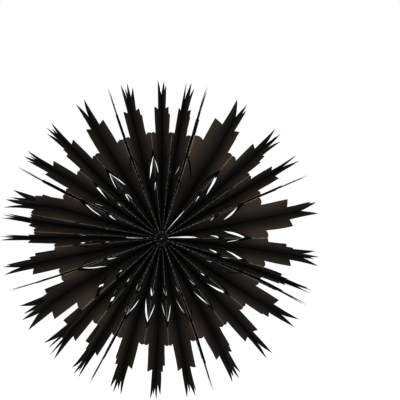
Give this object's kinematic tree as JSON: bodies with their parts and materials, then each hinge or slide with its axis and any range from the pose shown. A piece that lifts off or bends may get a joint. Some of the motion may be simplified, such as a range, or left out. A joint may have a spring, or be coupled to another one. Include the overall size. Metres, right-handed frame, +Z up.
{
  "type": "paper snowflake decoration",
  "caption": "Hanging double-sided paper snowflake: flat paper bags with cut teeth and curved slits, glued and fanned out into a full circle.",
  "frame": {"origin": "inside the top of the hanging thread's loop, where it lies on its nail", "axes": "+Z up; the star's axis lies along Y and its front faces -Y; +X to the right as seen from the front"},
  "size_m": [0.4493, 0.1238, 0.4858],
  "materials": {
    "paper": "matt black-brown uncoated paper",
    "thread": "thin pale grey thread"
  },
  "bodies": {
    "root": {"bag_01": "paper", "bag_02": "paper", "bag_03": "paper", "bag_04": "paper", "bag_05": "paper", "bag_06": "paper", "bag_07": "paper", "bag_08": "paper", "bag_09": "paper", "bag_10": "paper", "bag_11": "paper", "bag_12": "paper", "bag_13": "paper", "bag_14": "paper", "bag_15": "paper", "bag_16": "paper", "bag_17": "paper", "bag_18": "paper", "bag_19": "paper", "bag_20": "paper", "bag_21": "paper", "bag_22": "paper", "bag_23": "paper", "bag_24": "paper", "bag_25": "paper", "bag_26": "paper", "bag_27": "paper", "bag_28": "paper", "bag_29": "paper", "bag_30": "paper", "bag_31": "paper", "bag_32": "paper", "bag_33": "paper", "hanging_thread": "thread"}
  },
  "joints": []
}
